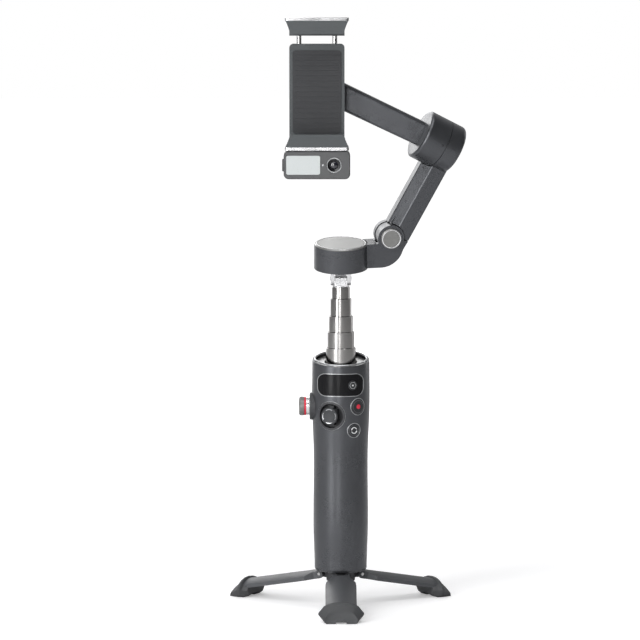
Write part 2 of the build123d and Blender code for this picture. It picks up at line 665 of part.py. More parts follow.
with BuildPart() as upper_arm:
    with BuildSketch(limb.offset(-41.0)):
        with BuildLine():
            Polyline(
                (ARM_INNER_A, -ARM_HALF), (24.8, -ARM_HALF), (24.8, ARM_HALF),
                (ARM_BEVEL_A, ARM_HALF), (ARM_INNER_A, 1.0), close=True,
            )
        make_face()
        fillet(vertices(), 1.2)
    extrude(amount=-(TILT_B - 41.0))
    add(stator.part)
    # room for the rotor, the barrel, and the rotor's shaft
    with BuildSketch(tilt.offset(ROTOR_A - 2)):
        Circle(TILT_R + GAP)
    extrude(amount=SEAM_A + GAP - ROTOR_A + 2, mode=Mode.SUBTRACT)
    with BuildSketch(fold.offset(-10)):
        Circle(BARREL_R + 0.45)
    extrude(amount=20, mode=Mode.SUBTRACT)
    with BuildSketch(tilt.offset(SEAM_A)):
        Circle(4.0 + FIT)
    extrude(amount=7.6, mode=Mode.SUBTRACT)
    # knuckle and tongue between the two cheeks
    with BuildSketch(fold.offset(-KNUCKLE_HALF)):
        Circle(BARREL_R - 0.4)
        with BuildLine():
            tongue = [
                Vector(*arm_st(a, b)) - Vector(FOLD_S, FOLD_T)
                for a, b in ((10.5, 37.8), (19.5, 37.8), (19.5, 50.0), (10.5, 50.0))
            ]
            Polyline(*tongue, close=True)
        make_face()
    extrude(amount=2 * KNUCKLE_HALF)
    with BuildSketch(fold.offset(-9)):
        Circle(2.0 + FIT)
    extrude(amount=20, mode=Mode.SUBTRACT)
upper_arm.part.label = "upper_arm"
export_step(upper_arm.part, "parts/upper_arm.step")

# ---- tilt rotor, link arm and roll motor --------------------------------------------
with BuildPart() as tilt_rotor:
    with BuildSketch(tilt.offset(ROTOR_A)):
        Circle(TILT_R)
    extrude(amount=SEAM_A - ROTOR_A)
    fillet(tilt_rotor.edges().filter_by(GeomType.CIRCLE).sort_by(Axis(tilt.origin, tilt.z_dir))[0], 1.8)
    with BuildSketch(tilt.offset(SEAM_A)):
        Circle(4.0)
    extrude(amount=7.0)
tilt_rotor.part.label = "tilt_rotor"
export_step(tilt_rotor.part, "parts/tilt_rotor.step")

ROLL_R = 14.0
near_end = tilt.offset(ROTOR_A).origin
link_run = Vector(near_end.X - PHONE_X, 0, near_end.Z - PHONE_Z)
link_frame = Plane(origin=(PHONE_X, ROLL_SEAM, PHONE_Z), x_dir=link_run, z_dir=(0, 1, 0))

with BuildPart() as roll_housing:
    with BuildSketch(roll.offset(-ROLL_SEAM)):
        Circle(ROLL_R)
    extrude(amount=-18.0)
    fillet(roll_housing.edges().filter_by(GeomType.CIRCLE).sort_by(Axis.Y)[-1], 2.5)
    with BuildSketch(roll.offset(-ROLL_SEAM)):
        Circle(4.0 + FIT)
    extrude(amount=-13.0, mode=Mode.SUBTRACT)
roll_housing.part.label = "roll_housing"
export_step(roll_housing.part, "parts/roll_housing.step")

with BuildPart() as link_arm:
    with BuildSketch(link_frame):
        with BuildLine():
            link_end = link_run.length + 8
            Polyline((0, 8.0), (link_end, 7.5), (link_end, -7.5), (0, -8.0), close=True)
        make_face()
    extrude(amount=11.0)
    fillet(link_arm.edges().filter_by(Axis(link_frame.origin, link_frame.x_dir), tolerance=2), 2.0)
    split(bisect_by=tilt.offset(ROTOR_A), keep=Keep.BOTTOM)
    with BuildSketch(roll.offset(-ROLL_SEAM + 1)):
        Circle(ROLL_R)
    extrude(amount=-25, mode=Mode.SUBTRACT)
link_arm.part.label = "link_arm"
export_step(link_arm.part, "parts/link_arm.step")

with BuildPart() as roll_rotor:
    with BuildSketch(roll.offset(-PLATE_BACK)):
        Circle(13.0)
    extrude(amount=-(ROLL_SEAM - 0.5 - PLATE_BACK))
    with BuildSketch(roll.offset(-ROLL_SEAM + 0.5)):
        Circle(4.0)
    extrude(amount=-12.8)
roll_rotor.part.label = "roll_rotor"
export_step(roll_rotor.part, "parts/roll_rotor.step")

# ---- clamp --------------------------------------------------------------------------
PHONE_LOW = PHONE_Z - PHONE_WIDTH / 2
PHONE_HIGH = PHONE_Z + PHONE_WIDTH / 2
PHONE_FACE = PHONE_Y - PHONE_THICK / 2
PHONE_REAR = PHONE_Y + PHONE_THICK / 2
PAD = 0.5
PLATE_FRONT = PHONE_REAR + PAD
LIP_BACK = PHONE_FACE - 0.5
LOW_LIP_TOP, HIGH_LIP_LOW = 296.9, 358.35
LOW_FLOOR, HIGH_ROOF = 289.0, 366.6
TRIM_LOW, TRIM_HIGH = 287.1, 368.25
BODY_TOP = 352.0
ROD_X, ROD_Y, ROD_R = 11.0, (PLATE_FRONT + PLATE_BACK) / 2, 1.5
clamp_front = Plane(origin=(PHONE_X, 0, 0), x_dir=(1, 0, 0), z_dir=(0, -1, 0))
clamp_side = Plane(origin=(PHONE_X, 0, 0), x_dir=(0, 1, 0), z_dir=(1, 0, 0))


def lip_outline(wide_z, narrow_z):
    """Face that narrows from the jaw's full width to the lip's edge, with rounded corners."""
    wide, narrow = JAW_WIDTH / 2 - 0.4, LIP_WIDTH / 2
    with BuildSketch(clamp_front.offset(-PLATE_BACK)) as face:
        with BuildLine():
            waist = (wide_z + narrow_z) / 2
            right = ThreePointArc((wide, wide_z), ((wide + narrow) / 2 - 0.3, waist), (narrow, narrow_z))
            left = mirror(right, about=Plane.YZ)
            Line(right @ 1, left @ 1)
            Line(right @ 0, left @ 0)
        make_face()
    return face.sketch


with BuildPart() as clamp_body:
    with BuildSketch(clamp_front.offset(-PLATE_BACK)):
        with Locations((0, (LOW_FLOOR + BODY_TOP) / 2)):
            RectangleRounded(34.0, BODY_TOP - LOW_FLOOR, 2.5)
    extrude(amount=PLATE_BACK - PLATE_FRONT)
    extrude(lip_outline(LOW_FLOOR, LOW_LIP_TOP), amount=PLATE_BACK - LIP_FRONT)
    with BuildSketch(clamp_side):
        with Locations(((LIP_BACK + PLATE_FRONT) / 2, PHONE_LOW + 10)):
            Rectangle(PLATE_FRONT - LIP_BACK, 20)
    extrude(amount=30, both=True, mode=Mode.SUBTRACT)
    for x in (-ROD_X, ROD_X):
        with BuildSketch(Plane(origin=(PHONE_X + x, ROD_Y, BODY_TOP))):
            Circle(ROD_R + FIT)
        extrude(amount=-54.0, mode=Mode.SUBTRACT)
clamp_body.part.label = "clamp_body"
export_step(clamp_body.part, "parts/clamp_body.step")

with BuildPart() as clamp_pad:
    with BuildSketch(clamp_front.offset(-PLATE_FRONT)):
        with Locations((0, (LOW_LIP_TOP + 348) / 2)):
            RectangleRounded(30.0, 348 - LOW_LIP_TOP, 2.0)
    extrude(amount=PAD)
clamp_pad.part.label = "clamp_pad"
export_step(clamp_pad.part, "parts/clamp_pad.step")

with BuildPart() as lower_trim:
    with BuildSketch(Plane(origin=(PHONE_X, (LIP_FRONT + 0.3 + PLATE_BACK) / 2, TRIM_LOW))):
        RectangleRounded(JAW_WIDTH, PLATE_BACK - LIP_FRONT - 0.3, 1.6)
    extrude(amount=LOW_FLOOR - TRIM_LOW)
lower_trim.part.label = "lower_trim"
export_step(lower_trim.part, "parts/lower_trim.step")

with BuildPart() as upper_jaw:
    extrude(lip_outline(HIGH_ROOF, HIGH_LIP_LOW), amount=PLATE_BACK - LIP_FRONT)
    with BuildSketch(clamp_front.offset(-PLATE_BACK)):
        with Locations((0, (HIGH_ROOF + 357.0) / 2)):
            Rectangle(34.0, HIGH_ROOF - 357.0)
    extrude(amount=PLATE_BACK - PLATE_FRONT)
    with BuildSketch(clamp_side):
        with Locations(((LIP_BACK + PLATE_FRONT) / 2, PHONE_HIGH - 10)):
            Rectangle(PLATE_FRONT - LIP_BACK, 20)
    extrude(amount=30, both=True, mode=Mode.SUBTRACT)
    for x in (-ROD_X, ROD_X):
        with BuildSketch(Plane(origin=(PHONE_X + x, ROD_Y, 364.0))):
            Circle(ROD_R)
        extrude(amount=-20.0, mode=Mode.SUBTRACT)
upper_jaw.part.label = "upper_jaw"
export_step(upper_jaw.part, "parts/upper_jaw.step")

with BuildPart() as upper_trim:
    with BuildSketch(Plane(origin=(PHONE_X, (LIP_FRONT + 0.3 + PLATE_BACK) / 2, HIGH_ROOF))):
        RectangleRounded(JAW_WIDTH, PLATE_BACK - LIP_FRONT - 0.3, 1.6)
    extrude(amount=TRIM_HIGH - HIGH_ROOF)
upper_trim.part.label = "upper_trim"
export_step(upper_trim.part, "parts/upper_trim.step")

for number, x in ((1, -ROD_X), (2, ROD_X)):
    with BuildPart() as guide_rod:
        with BuildSketch(Plane(origin=(PHONE_X + x, ROD_Y, 364.0))):
            Circle(ROD_R)
        extrude(amount=-60.0)
    guide_rod.part.label = f"guide_rod_{number}"
    export_step(guide_rod.part, f"parts/guide_rod_{number}.step")

# ---- light and camera module --------------------------------------------------------
MODULE_Z = MODULE_TOP - MODULE_HEIGHT / 2
LIGHT = (20.8, 11.6, 1.2)
LIGHT_X, LENS_X, LED_X = -8.45, 10.55, 3.7
LENS_R = 4.6
BUTTON_Z = 277.7
side_plane = Plane(
    origin=(PHONE_X - MODULE_WIDTH / 2, -28.2, BUTTON_Z), x_dir=(0, -1, 0), z_dir=(-1, 0, 0)
)
module_plane = Plane(origin=(PHONE_X, MODULE_FRONT, MODULE_Z), x_dir=(1, 0, 0), z_dir=(0, -1, 0))

with BuildPart() as module_body:
    with BuildSketch(module_plane):
        RectangleRounded(MODULE_WIDTH, MODULE_HEIGHT, 3.2)
    extrude(amount=MODULE_FRONT - MODULE_BACK)
    chamfer(module_body.faces().sort_by(Axis.Y)[0].edges(), 0.6)
    with BuildSketch(Plane(origin=(PHONE_X, -27.0, MODULE_TOP))):
        RectangleRounded(24.0, 10.0, 2.0)
    extrude(amount=TRIM_LOW - MODULE_TOP)
    with BuildSketch(module_plane):
        with Locations((LIGHT_X, 0)):
            RectangleRounded(LIGHT[0] + 0.2, LIGHT[1] + 0.2, LIGHT[2] + 0.1)
    extrude(amount=-1.5, mode=Mode.SUBTRACT)
    with BuildSketch(module_plane):
        with Locations((LENS_X, 0)):
            Circle(LENS_R + 0.1)
    extrude(amount=-5, mode=Mode.SUBTRACT)
    with BuildSketch(module_plane):
        with Locations((LED_X, 0)):
            Circle(0.55)
    extrude(amount=-0.6, mode=Mode.SUBTRACT)
    with BuildSketch(side_plane):
        SlotOverall(8.2, 7.2, rotation=90)
    extrude(amount=-2.6, mode=Mode.SUBTRACT)
module_body.part.label = "module_body"
export_step(module_body.part, "parts/module_body.step")

with BuildPart() as light_panel:
    with BuildSketch(module_plane.offset(-1.5)):
        with Locations((LIGHT_X, 0)):
            RectangleRounded(*LIGHT)
    extrude(amount=1.4)
light_panel.part.label = "light_panel"
export_step(light_panel.part, "parts/light_panel.step")

with BuildPart() as lens_barrel:
    with BuildSketch(module_plane.offset(-5)):
        with Locations((LENS_X, 0)):
            Circle(LENS_R)
    extrude(amount=5.2)
    with BuildSketch(module_plane.offset(-0.6)):
        with Locations((LENS_X, 0)):
            Circle(LENS_R - 0.8)
    extrude(amount=2, mode=Mode.SUBTRACT)
lens_barrel.part.label = "lens_barrel"
export_step(lens_barrel.part, "parts/lens_barrel.step")

with BuildPart() as module_button:
    with BuildSketch(side_plane.offset(-2.0)):
        SlotOverall(7.9, 6.9, rotation=90)
    extrude(amount=3.0)
    fillet(module_button.faces().sort_by(Axis.X)[0].edges(), 0.6)
module_button.part.label = "module_button"
export_step(module_button.part, "parts/module_button.step")
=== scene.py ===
import bmesh
import bpy
import json
from math import atan2, cos, hypot, radians, sin, sqrt
from mathutils import Matrix, Vector
from mathutils.bvhtree import BVHTree


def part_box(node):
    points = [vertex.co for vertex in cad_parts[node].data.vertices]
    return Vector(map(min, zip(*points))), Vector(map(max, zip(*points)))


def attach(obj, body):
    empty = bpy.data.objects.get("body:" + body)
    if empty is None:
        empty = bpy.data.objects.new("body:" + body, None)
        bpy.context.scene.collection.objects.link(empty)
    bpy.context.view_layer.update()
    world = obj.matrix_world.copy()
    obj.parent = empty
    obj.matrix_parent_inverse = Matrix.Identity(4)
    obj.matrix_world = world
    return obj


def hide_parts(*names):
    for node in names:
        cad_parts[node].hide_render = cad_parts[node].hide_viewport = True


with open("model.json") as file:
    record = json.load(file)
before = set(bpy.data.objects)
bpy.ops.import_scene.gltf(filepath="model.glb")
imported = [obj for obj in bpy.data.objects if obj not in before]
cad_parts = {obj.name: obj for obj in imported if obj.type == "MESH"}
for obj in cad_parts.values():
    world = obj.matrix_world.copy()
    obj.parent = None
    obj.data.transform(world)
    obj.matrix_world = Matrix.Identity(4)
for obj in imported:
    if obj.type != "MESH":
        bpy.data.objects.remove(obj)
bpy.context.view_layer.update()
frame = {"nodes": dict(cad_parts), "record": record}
nodes = frame["nodes"]
joints = {joint["name"]: joint for joint in frame["record"]["behaviour"]["joints"]}
mm = 0.001
print("frame loaded,", len(nodes), "CAD nodes")

# Studio: camera, floor, soft lights, white surround
studio = {
    "cameraAt": (-0.013, -2.6, 0.435),
    "cameraPitch": 5.62,  # degrees below level
    "lens": 235.4,
    "sensor": 36.0,
    "aimHeight": 0.19,
    "floorSize": 14.0,
    "floorColour": (0.86, 0.86, 0.87),
    "floorRoughness": 0.9,
    "floorSpecular": 0.1,
    "floorGlow": (0.31, 0.93),  # near the object and from the far edge on
    "floorReach": (0.12, 0.8),
    "surroundSeen": 1.0,
    "surroundBehind": 0.5,
    "surroundFront": 0.02,
    "surroundTurn": (0.0, 0.9),  # where the front's strength ends and the back's is reached
}
softLights = {  # name: (azimuth from the front, elevation, distance, width, height, power)
    "keyLight": (-41, 14, 1.8, 0.52, 1.7, 25.0),
    "stripLight": (-10, 8, 2.2, 0.42, 1.7, 17.0),
    "topLight": (-20, 74, 1.5, 1.3, 1.3, 13.0),
    "leftLight": (-150, 10, 1.8, 0.5, 1.5, 4.0),
    "rightLight": (128, 12, 1.8, 0.35, 1.5, 3.0),
    "backLight": (195, 30, 1.8, 0.9, 1.2, 8.0),
}


def makeCamera(scene):
    cameraData = bpy.data.cameras.new("camera")
    cameraData.lens = studio["lens"]
    cameraData.sensor_width = studio["sensor"]
    camera = bpy.data.objects.new("camera", cameraData)
    camera.location = studio["cameraAt"]
    camera.rotation_euler = (radians(90 - studio["cameraPitch"]), 0, 0)
    scene.collection.objects.link(camera)
    scene.camera = camera


def makeLights(scene):
    for name, (azimuth, elevation, distance, width, height, power) in softLights.items():
        lightData = bpy.data.lights.new(name, "AREA")
        lightData.shape = "RECTANGLE"
        lightData.size, lightData.size_y = width, height
        lightData.energy = power
        light = bpy.data.objects.new(name, lightData)
        turn, rise = radians(azimuth), radians(elevation)
        outward = Vector((sin(turn) * cos(rise), -cos(turn) * cos(rise), sin(rise)))
        light.location = Vector((0, 0, studio["aimHeight"])) + outward * distance
        light.rotation_euler = outward.to_track_quat("Z", "Y").to_euler()
        light.visible_camera = False
        scene.collection.objects.link(light)


def paintFloor():
    paint = bpy.data.materials.new("floorPaint")
    paint.use_nodes = True
    tree = paint.node_tree
    shader = tree.nodes["Principled BSDF"]
    shader.inputs["Base Color"].default_value = (*studio["floorColour"], 1)
    shader.inputs["Roughness"].default_value = studio["floorRoughness"]
    shader.inputs["Specular IOR Level"].default_value = studio["floorSpecular"]
    shader.inputs["Emission Color"].default_value = (1, 1, 1, 1)
    coordinates = tree.nodes.new("ShaderNodeTexCoord")
    distance = tree.nodes.new("ShaderNodeVectorMath")
    distance.operation = "LENGTH"
    tree.links.new(coordinates.outputs["Object"], distance.inputs[0])
    fade = tree.nodes.new("ShaderNodeMapRange")
    fade.interpolation_type = "SMOOTHSTEP"
    fade.inputs["From Min"].default_value = studio["floorReach"][0]
    fade.inputs["From Max"].default_value = studio["floorReach"][1]
    fade.inputs["To Min"].default_value = studio["floorGlow"][0]
    fade.inputs["To Max"].default_value = studio["floorGlow"][1]
    tree.links.new(distance.outputs["Value"], fade.inputs["Value"])
    seen = tree.nodes.new("ShaderNodeLightPath")  # the glow whitens the floor but lights nothing
    glow = tree.nodes.new("ShaderNodeMath")
    glow.operation = "MULTIPLY"
    tree.links.new(fade.outputs[0], glow.inputs[0])
    tree.links.new(seen.outputs["Is Camera Ray"], glow.inputs[1])
    tree.links.new(glow.outputs[0], shader.inputs["Emission Strength"])
    return paint


def makeFloor(scene):
    bm = bmesh.new()
    bmesh.ops.create_grid(bm, x_segments=1, y_segments=1, size=studio["floorSize"] / 2)
    mesh = bpy.data.meshes.new("floor")
    bm.to_mesh(mesh)
    bm.free()
    mesh.materials.append(paintFloor())
    floor = bpy.data.objects.new("floor", mesh)
    scene.collection.objects.link(floor)


def makeSurround(scene):
    world = bpy.data.worlds.new("surround")
    scene.world = world
    world.use_nodes = True
    tree = world.node_tree
    background = tree.nodes["Background"]
    background.inputs["Color"].default_value = (1, 1, 1, 1)
    coordinates = tree.nodes.new("ShaderNodeTexCoord")
    split = tree.nodes.new("ShaderNodeSeparateXYZ")
    tree.links.new(coordinates.outputs["Generated"], split.inputs[0])
    depth = tree.nodes.new("ShaderNodeMapRange")  # dim in front of the object, bright behind it
    depth.interpolation_type = "SMOOTHSTEP"
    depth.inputs["From Min"].default_value = studio["surroundTurn"][0]
    depth.inputs["From Max"].default_value = studio["surroundTurn"][1]
    depth.inputs["To Min"].default_value = studio["surroundFront"]
    depth.inputs["To Max"].default_value = studio["surroundBehind"]
    tree.links.new(split.outputs["Y"], depth.inputs["Value"])
    lightPath = tree.nodes.new("ShaderNodeLightPath")
    choose = tree.nodes.new("ShaderNodeMix")
    choose.data_type = "FLOAT"
    choose.inputs[3].default_value = studio["surroundSeen"]
    tree.links.new(lightPath.outputs["Is Camera Ray"], choose.inputs[0])
    tree.links.new(depth.outputs[0], choose.inputs[2])
    tree.links.new(choose.outputs[0], background.inputs["Strength"])


def setUpStudio():
    scene = bpy.context.scene
    scene.view_settings.view_transform = "Standard"
    makeCamera(scene)
    makeLights(scene)
    makeFloor(scene)
    makeSurround(scene)


setUpStudio()
print("studio ready")

# Finishes: one dictionary of looks; a look left out of an entry takes the plain value
plainLook = {
    "colour": (0.1, 0.1, 0.1), "tint": 0.10, "roughness": 0.45, "roughSpread": 0.08,
    "metallic": 0.0, "coat": 0.0, "coatRoughness": 0.1, "specular": 0.5,
    "grain": 900.0, "grainDepth": 0.25, "cloud": 45.0, "stretch": (1, 1, 1), "glow": 0.0,
}
finishes = {
    "shellPaint": {"colour": (0.078, 0.081, 0.088), "roughness": 0.30, "metallic": 0.6,
                   "grain": 2600.0, "grainDepth": 0.16, "coat": 0.08, "coatRoughness": 0.35},
    "darkPlastic": {"colour": (0.042, 0.043, 0.047), "roughness": 0.5, "grain": 2200.0,
                    "grainDepth": 0.25},
    "buttonPlastic": {"colour": (0.024, 0.025, 0.028), "roughness": 0.42, "grain": 2200.0,
                      "grainDepth": 0.2},
    "legPlastic": {"colour": (0.070, 0.073, 0.079), "roughness": 0.5, "grain": 1900.0,
                   "grainDepth": 0.3},
    "jawPlastic": {"colour": (0.054, 0.061, 0.065), "roughness": 0.48, "grain": 2000.0,
                   "grainDepth": 0.25},
    "modulePlastic": {"colour": (0.078, 0.079, 0.082), "roughness": 0.46, "grain": 2300.0,
                      "grainDepth": 0.22},
    # painted top light: the lid's light grey stands in for light falling on the top of a lid that
    # has the drum's dark grey
    "lidPaintedTopLight": {"colour": (0.26, 0.26, 0.255), "roughness": 0.34, "metallic": 0.45,
                 "grain": 2600.0, "grainDepth": 0.12},
    "capPaint": {"colour": (0.235, 0.235, 0.228), "roughness": 0.36, "metallic": 0.5,
                 "grain": 2600.0, "grainDepth": 0.12},
    "brightTrim": {"colour": (0.78, 0.78, 0.79), "roughness": 0.22, "metallic": 0.9,
                   "grain": 1500.0, "grainDepth": 0.05, "tint": 0.04},
    "tubeSteel": {"colour": (0.44, 0.43, 0.42), "roughness": 0.10, "metallic": 1.0,
                  "grain": 500.0, "grainDepth": 0.05, "stretch": (1, 1, 0.02), "tint": 0.05,
                  "roughSpread": 0.05},
    "pinSteel": {"colour": (0.52, 0.52, 0.52), "roughness": 0.26, "metallic": 1.0, "grain": 900.0,
                 "grainDepth": 0.08, "tint": 0.06},
    "plateMetal": {"colour": (0.50, 0.50, 0.50), "roughness": 0.32, "metallic": 0.85,
                   "grain": 1800.0, "grainDepth": 0.12, "tint": 0.06},
    "blackGlass": {"colour": (0.006, 0.006, 0.007), "roughness": 0.12, "roughSpread": 0.03,
                   "coat": 0.05, "coatRoughness": 0.03, "specular": 0.18, "grain": 300.0,
                   "grainDepth": 0.0},
    "lensBlack": {"colour": (0.010, 0.010, 0.012), "roughness": 0.2, "grain": 1500.0,
                  "grainDepth": 0.05},
    "lensGlass": {"colour": (0.012, 0.012, 0.018), "roughness": 0.03, "roughSpread": 0.02,
                  "coat": 1.0, "coatRoughness": 0.01, "grain": 200.0, "grainDepth": 0.0,
                  "specular": 0.8},
    "footRubber": {"colour": (0.054, 0.056, 0.059), "roughness": 0.62, "grain": 1300.0,
                   "grainDepth": 0.5},
    "padRubber": {"colour": (0.030, 0.031, 0.034), "roughness": 0.7, "grain": 1300.0,
                  "grainDepth": 0.5},
    "lampDiffuser": {"colour": (0.50, 0.53, 0.53), "roughness": 0.35, "grain": 1200.0,
                     "grainDepth": 0.06, "tint": 0.03, "glow": 0.03},
    "ringPaint": {"colour": (0.50, 0.51, 0.52), "roughness": 0.3, "metallic": 0.7,
                  "grain": 2000.0, "grainDepth": 0.05},
    "markPaint": {"colour": (0.78, 0.79, 0.80), "roughness": 0.5, "grain": 1800.0,
                  "grainDepth": 0.1},
    "redPaint": {"colour": (0.72, 0.03, 0.06), "roughness": 0.35, "grain": 1500.0,
                 "grainDepth": 0.1, "tint": 0.06},
    "rimPaint": {"colour": (0.15, 0.155, 0.16), "roughness": 0.35, "metallic": 0.5,
                 "grain": 2000.0, "grainDepth": 0.05},
    "screwBlack": {"colour": (0.03, 0.03, 0.032), "roughness": 0.4, "metallic": 0.6,
                   "grain": 1500.0, "grainDepth": 0.05},
    "darkRubber": {"colour": (0.040, 0.042, 0.046), "roughness": 0.6, "grain": 1500.0,
                   "grainDepth": 0.45},
    "cellWrap": {"colour": (0.04, 0.12, 0.35), "roughness": 0.3, "grain": 800.0,
                 "grainDepth": 0.1},
}
texture = {
    "cloudDetail": 4, "grainDetail": 3,
    "cloudShare": 0.65, "grainShare": 0.35,  # of the mixed pattern that varies tone and roughness
    "patternRange": (0.3, 0.7), "bumpDistance": 0.00006,
}


def addNoise(tree, mapping, scale, detail):
    noise = tree.nodes.new("ShaderNodeTexNoise")
    noise.inputs["Scale"].default_value = scale
    noise.inputs["Detail"].default_value = detail
    tree.links.new(mapping.outputs[0], noise.inputs["Vector"])
    return noise


def mixPattern(tree, cloud, fine):
    share = tree.nodes.new("ShaderNodeMath")
    share.operation = "MULTIPLY"
    share.inputs[1].default_value = texture["cloudShare"]
    tree.links.new(cloud.outputs["Fac"], share.inputs[0])
    pattern = tree.nodes.new("ShaderNodeMath")
    pattern.operation = "MULTIPLY_ADD"
    pattern.inputs[1].default_value = texture["grainShare"]
    tree.links.new(fine.outputs["Fac"], pattern.inputs[0])
    tree.links.new(share.outputs[0], pattern.inputs[2])
    return pattern


def makeFinish(name, look):
    look = {**plainLook, **look}
    material = bpy.data.materials.new(name)
    material.use_nodes = True
    tree = material.node_tree
    shader = tree.nodes["Principled BSDF"]
    coordinates = tree.nodes.new("ShaderNodeTexCoord")
    mapping = tree.nodes.new("ShaderNodeMapping")
    mapping.inputs["Scale"].default_value = look["stretch"]
    tree.links.new(coordinates.outputs["Object"], mapping.inputs["Vector"])
    cloud = addNoise(tree, mapping, look["cloud"], texture["cloudDetail"])  # slow change of tone
    fine = addNoise(tree, mapping, look["grain"], texture["grainDetail"])  # fine surface grain
    pattern = mixPattern(tree, cloud, fine)

    tone = tree.nodes.new("ShaderNodeMixRGB")
    low, high = 1 - look["tint"], 1 + look["tint"]
    tone.inputs["Color1"].default_value = (*[low * c for c in look["colour"]], 1)
    tone.inputs["Color2"].default_value = (*[min(high * c, 1) for c in look["colour"]], 1)
    tree.links.new(pattern.outputs[0], tone.inputs["Fac"])
    tree.links.new(tone.outputs[0], shader.inputs["Base Color"])

    rough = tree.nodes.new("ShaderNodeMapRange")
    rough.inputs["From Min"].default_value = texture["patternRange"][0]
    rough.inputs["From Max"].default_value = texture["patternRange"][1]
    rough.inputs["To Min"].default_value = max(look["roughness"] - look["roughSpread"], 0.0)
    rough.inputs["To Max"].default_value = look["roughness"] + look["roughSpread"]
    tree.links.new(pattern.outputs[0], rough.inputs["Value"])
    tree.links.new(rough.outputs[0], shader.inputs["Roughness"])

    if look["grainDepth"] > 0:
        bump = tree.nodes.new("ShaderNodeBump")
        bump.inputs["Strength"].default_value = look["grainDepth"]
        bump.inputs["Distance"].default_value = texture["bumpDistance"]
        tree.links.new(fine.outputs["Fac"], bump.inputs["Height"])
        tree.links.new(bump.outputs[0], shader.inputs["Normal"])
    shader.inputs["Metallic"].default_value = look["metallic"]
    shader.inputs["Specular IOR Level"].default_value = look["specular"]
    shader.inputs["Coat Weight"].default_value = look["coat"]
    shader.inputs["Coat Roughness"].default_value = look["coatRoughness"]
    if look["glow"] > 0:
        shader.inputs["Emission Color"].default_value = (1, 1, 1, 1)
        shader.inputs["Emission Strength"].default_value = look["glow"]
    return material


finish = {name: makeFinish(name, look) for name, look in finishes.items()}
print("finishes made:", len(finish))

# CAD nodes that keep their own shape, by finish
nodeFinishes = {
    "shellPaint": ["handle_front_shell", "handle_rear_shell", "pan_drum", "upper_arm",
                   "tilt_rotor", "link_arm", "roll_housing"],
    "buttonPlastic": ["mode_button", "record_button", "switch_button"],
    "legPlastic": ["leg_1", "leg_2", "leg_3"],
    "jawPlastic": ["clamp_body", "upper_jaw"],
    "darkPlastic": ["base_cap", "rod_sleeve", "joystick_housing", "joystick_cradle", "wheel_bezel",
                    "trigger", "tripod_hub", "wheel_stem", "roll_rotor", "pan_base"],
    "modulePlastic": ["module_body", "module_button"],
    # the pan lid's lighter grey is painted top light
    "lidPaintedTopLight": ["pan_cap"],
    "capPaint": ["fold_cap"],
    "ringPaint": ["collar_ring"],
    "brightTrim": ["lower_trim", "upper_trim", "clevis", "rod_head"],
    "plateMetal": ["collar_plate"],
    "tubeSteel": ["rod_tube_%d" % i for i in range(1, 6)],
    "pinSteel": ["leg_pin_1", "leg_pin_2", "leg_pin_3", "head_pin", "fold_pin", "trigger_pin",
                 "guide_rod_1", "guide_rod_2", "usb_port"],
    "blackGlass": ["screen_window"],
    "padRubber": ["clamp_pad"],
    "lampDiffuser": ["light_panel"],
    "cellWrap": ["battery_cell"],
}
for finishName, nodeNames in nodeFinishes.items():
    for nodeName in nodeNames:
        mesh = nodes[nodeName].data
        mesh.materials.clear()
        mesh.materials.append(finish[finishName])
print("CAD nodes painted")

# Shared makers
seamGap = 1e-7  # points nearer than this are one point
right, up, front = Vector((1, 0, 0)), Vector((0, 0, 1)), Vector((0, -1, 0))


def seatAt(origin, outward, across):
    outward = Vector(outward).normalized()
    across = Vector(across)
    across = (across - outward * across.dot(outward)).normalized()
    seat = Matrix((across, outward.cross(across), outward)).transposed().to_4x4()
    seat.translation = origin
    return seat


def spun(profile, steps=96, closed=False, sweep=360.0):
    bm = bmesh.new()
    line = [bm.verts.new((radius * mm, 0, height * mm)) for radius, height in profile]
    pairs = list(zip(line, line[1:])) + ([(line[-1], line[0])] if closed else [])
    edges = [bm.edges.new(pair) for pair in pairs]
    bmesh.ops.spin(bm, geom=line + edges, cent=(0, 0, 0), axis=(0, 0, 1), angle=radians(sweep),
                   steps=steps, use_merge=sweep == 360.0)
    bmesh.ops.remove_doubles(bm, verts=bm.verts, dist=seamGap)
    bmesh.ops.holes_fill(bm, edges=bm.edges)
    return bm


def fromRadius(radius, profile):  # a profile given as steps from a radius
    return [(radius + step, height) for step, height in profile]


def ringProfile(inner, outer, low, high, soft):
    return [(inner, low), (outer, low), (outer, high - soft), (outer - soft, high),
            (inner + soft, high), (inner, high - soft)]


def everyOtherSideFace(bm, steepest, clearOf):  # round the outside, by turn
    side = [face for face in bm.faces if abs(face.normal.z) < steepest
            and hypot(*face.calc_center_median()[:2]) > clearOf * mm]
    side.sort(key=lambda face: atan2(face.calc_center_median().y, face.calc_center_median().x))
    return side[::2]


def finishPiece(name, bm, seat, body, finishName, sharp=32, replaced=()):
    if seat is not None:
        bmesh.ops.transform(bm, matrix=seat, verts=bm.verts)
    bmesh.ops.recalc_face_normals(bm, faces=bm.faces)
    mesh = bpy.data.meshes.new(name)
    bm.to_mesh(mesh)
    bm.free()
    for polygon in mesh.polygons:
        polygon.use_smooth = True
    mesh.set_sharp_from_angle(angle=radians(sharp))
    mesh.materials.append(finish[finishName])
    piece = bpy.data.objects.new(name, mesh)
    bpy.context.scene.collection.objects.link(piece)
    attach(piece, body)
    if replaced:
        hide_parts(*replaced)


def surfaceTree(nodeName):
    bm = bmesh.new()
    bm.from_mesh(nodes[nodeName].data)
    tree = BVHTree.FromBMesh(bm)
    bm.free()
    return tree


def seatOn(tree, start, direction, across):
    hit, normal, _, _ = tree.ray_cast(Vector(start), Vector(direction).normalized())
    if normal.dot(Vector(direction)) > 0:
        normal.negate()
    return seatAt(hit, normal, across)


def jointSeat(jointName, across, sign=1):
    joint = joints[jointName]
    return seatAt(Vector(joint["pos_m"]), Vector(joint["axis"]) * sign, across)


def middle(nodeName):
    low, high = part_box(nodeName)
    return (Vector(low) + Vector(high)) / 2


